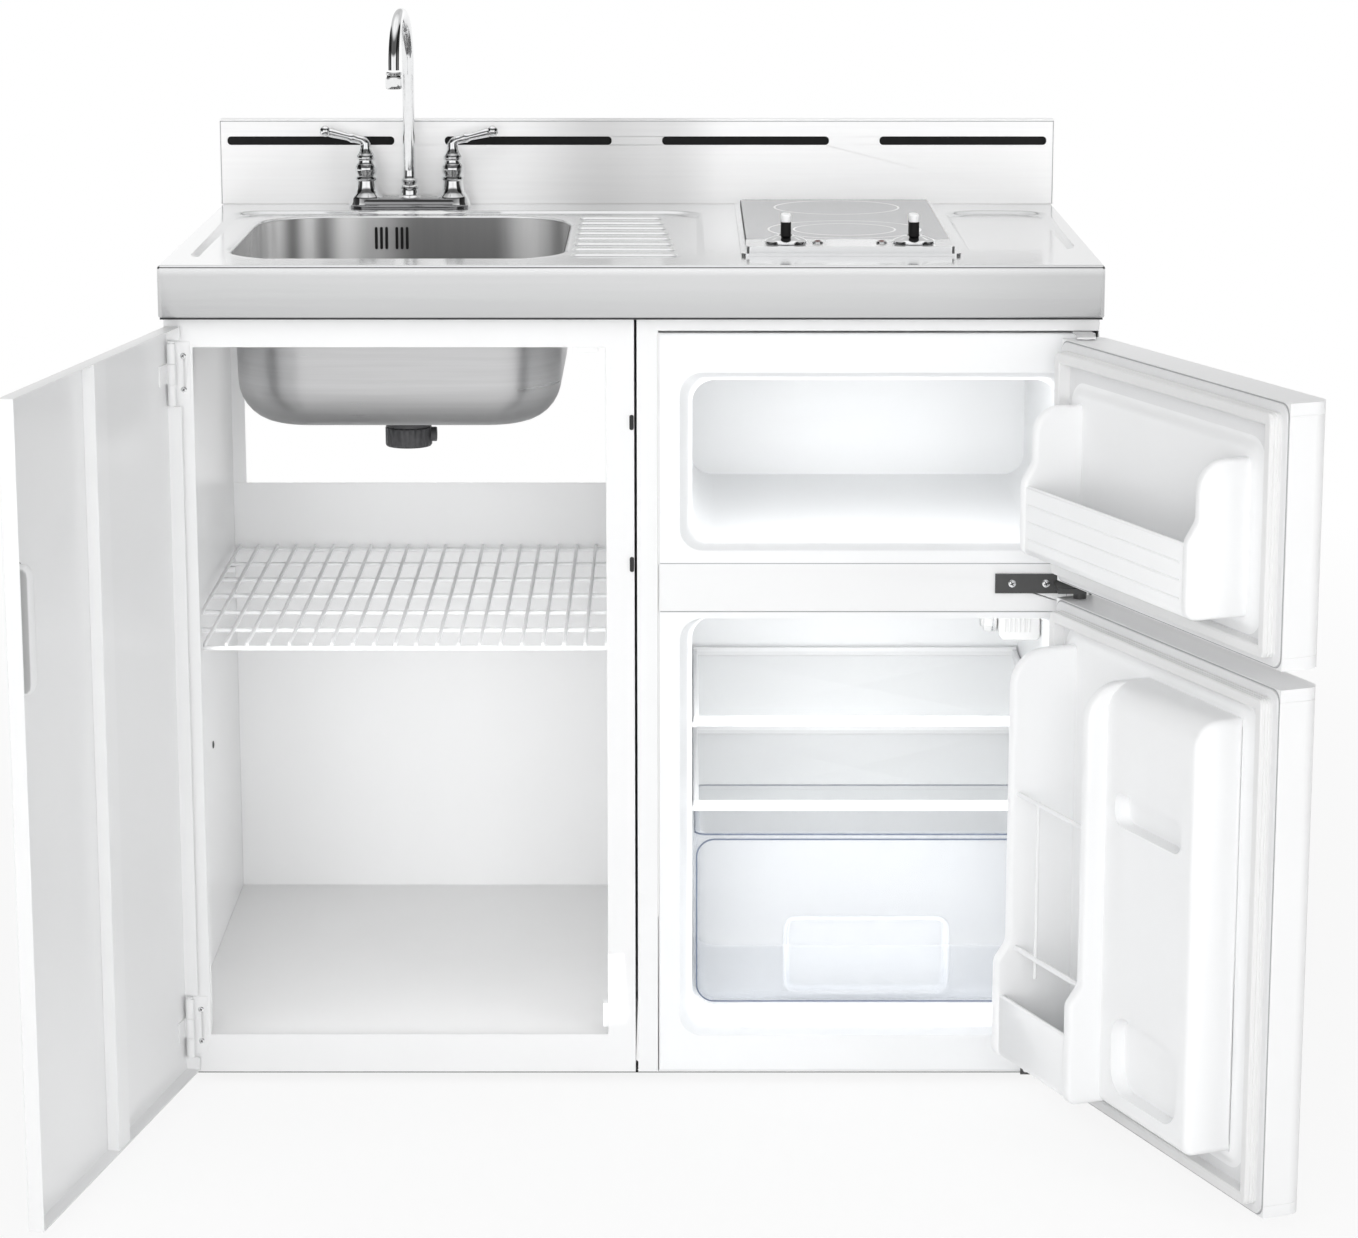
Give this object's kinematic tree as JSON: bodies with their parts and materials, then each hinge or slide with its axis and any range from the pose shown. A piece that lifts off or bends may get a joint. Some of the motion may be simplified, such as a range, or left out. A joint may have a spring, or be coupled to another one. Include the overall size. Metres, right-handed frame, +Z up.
{
  "type": "kitchenette unit with sink and hob",
  "caption": "Kitchenette unit: stainless worktop with sink, drainboard, faucet and ceramic hob over a door-fronted cabinet and a refrigerator with a separate freezer door.",
  "frame": {"origin": "on the floor under the centre of the worktop, on the glide under the middle panel", "axes": "+X to the right seen from the front, +Y to the wall behind, +Z up; the front faces -Y"},
  "size_m": [1.2426, 1.0771, 1.137],
  "materials": {
    "stainless": "satin",
    "chrome": "polished",
    "white_enamel": "satin",
    "zinc_steel": "matte",
    "white_plastic": "gloss",
    "white_rubber": "matte",
    "black_rubber": "matte",
    "black_plastic": "satin",
    "ivory_plastic": "matte",
    "foam": "matte",
    "shelf_glass": "clear",
    "hob_ceramic": "gloss",
    "clear_plastic": "clear",
    "black_steel": "satin",
    "coated_wire": "satin",
    "brass": "satin",
    "element": "matte",
    "lamp_lens": "gloss"
  },
  "bodies": {
    "cabinet": {"worktop": "stainless", "backsplash": "stainless", "sink_bowl": "stainless", "sink_strainer": "stainless", "drain_fitting": "black_plastic", "faucet_base": "chrome", "faucet_nuts": "brass", "hob_frame": "stainless", "hob_glass": "hob_ceramic", "hob_box": "zinc_steel", "radiant_elements": "element", "hob_switches": "ivory_plastic", "indicator_lamps": "lamp_lens", "side_panel_left": "white_enamel", "divider_panel": "white_enamel", "side_panel_right": "white_enamel", "cabinet_floor": "white_enamel", "cabinet_back": "zinc_steel", "front_frame": "white_enamel", "rear_frame": "white_enamel", "right_bay_frame": "white_enamel", "wire_shelf": "coated_wire", "shelf_clips": "white_plastic", "levelling_feet": "black_plastic", "seam_buffers": "black_rubber", "magnetic_catches": "white_enamel", "cabinet_hinge_brackets": "white_enamel", "cord_gland": "black_rubber", "fridge_shell": "white_enamel", "fridge_foam": "foam", "freezer_liner": "white_plastic", "fridge_liner": "white_plastic", "glass_shelves": "shelf_glass", "shelf_trims": "white_plastic", "thermostat_housing": "white_plastic", "compressor": "black_steel", "condenser_coil": "black_steel", "fridge_hinges": "zinc_steel", "hinge_screws": "zinc_steel"},
    "cabinet_door": {"cabinet_door_panel": "white_enamel", "cabinet_door_stiffener": "white_enamel", "cabinet_door_pull": "white_plastic", "cabinet_door_hinges": "white_enamel"},
    "freezer_door": {"freezer_door_skin": "white_enamel", "freezer_door_caps": "white_plastic", "freezer_door_liner": "white_plastic", "freezer_door_gasket": "white_rubber"},
    "fridge_door": {"fridge_door_skin": "white_enamel", "fridge_door_caps": "white_plastic", "fridge_door_liner": "white_plastic", "fridge_door_gasket": "white_rubber", "bottle_retainer": "coated_wire"},
    "crisper_drawer": {"crisper_drawer": "clear_plastic"},
    "spout": {"spout": "chrome", "aerator": "chrome"},
    "hot_handle": {"hot_handle": "chrome"},
    "cold_handle": {"cold_handle": "chrome"},
    "hob_knob_left": {"hob_knob_left": "black_plastic"},
    "hob_knob_right": {"hob_knob_right": "black_plastic"},
    "thermostat_dial": {"thermostat_dial": "white_plastic"}
  },
  "joints": [
    {"name": "cabinet_door_hinge", "type": "hinge", "parent": "cabinet", "child": "cabinet_door", "pos_m": [-0.483, -0.2955, 0.424], "axis": [0, 0, -1], "range_deg": [-101, 4]},
    {"name": "freezer_door_hinge", "type": "hinge", "parent": "cabinet", "child": "freezer_door", "pos_m": [0.474, -0.32, 0.695], "axis": [0, 0, 1], "range_deg": [-112, 13]},
    {"name": "fridge_door_hinge", "type": "hinge", "parent": "cabinet", "child": "fridge_door", "pos_m": [0.474, -0.32, 0.282], "axis": [0, 0, 1], "range_deg": [-112, 13]},
    {"name": "crisper_slide", "type": "slide", "parent": "cabinet", "child": "crisper_drawer", "axis": [0, -1, 0], "range_m": [0, 0.11]},
    {"name": "spout_swivel", "type": "hinge", "parent": "cabinet", "child": "spout", "pos_m": [-0.268, 0.2475, 0.92], "axis": [0, 0, 1], "range_deg": [-60, 60]},
    {"name": "hot_handle_turn", "type": "hinge", "parent": "cabinet", "child": "hot_handle", "pos_m": [-0.319, 0.2475, 0.95], "axis": [0, 0, 1], "range_deg": [0, 90]},
    {"name": "cold_handle_turn", "type": "hinge", "parent": "cabinet", "child": "cold_handle", "pos_m": [-0.217, 0.2475, 0.95], "axis": [0, 0, -1], "range_deg": [0, 90]},
    {"name": "hob_knob_left_turn", "type": "hinge", "parent": "cabinet", "child": "hob_knob_left", "pos_m": [0.1645, -0.183, 0.92], "axis": [0, 0, -1], "range_deg": [0, 270]},
    {"name": "hob_knob_right_turn", "type": "hinge", "parent": "cabinet", "child": "hob_knob_right", "pos_m": [0.3015, -0.183, 0.92], "axis": [0, 0, -1], "range_deg": [0, 270]},
    {"name": "thermostat_dial_turn", "type": "hinge", "parent": "cabinet", "child": "thermostat_dial", "pos_m": [0.395, -0.109, 0.485], "axis": [-1, 0, 0], "range_deg": [0, 300]}
  ]
}
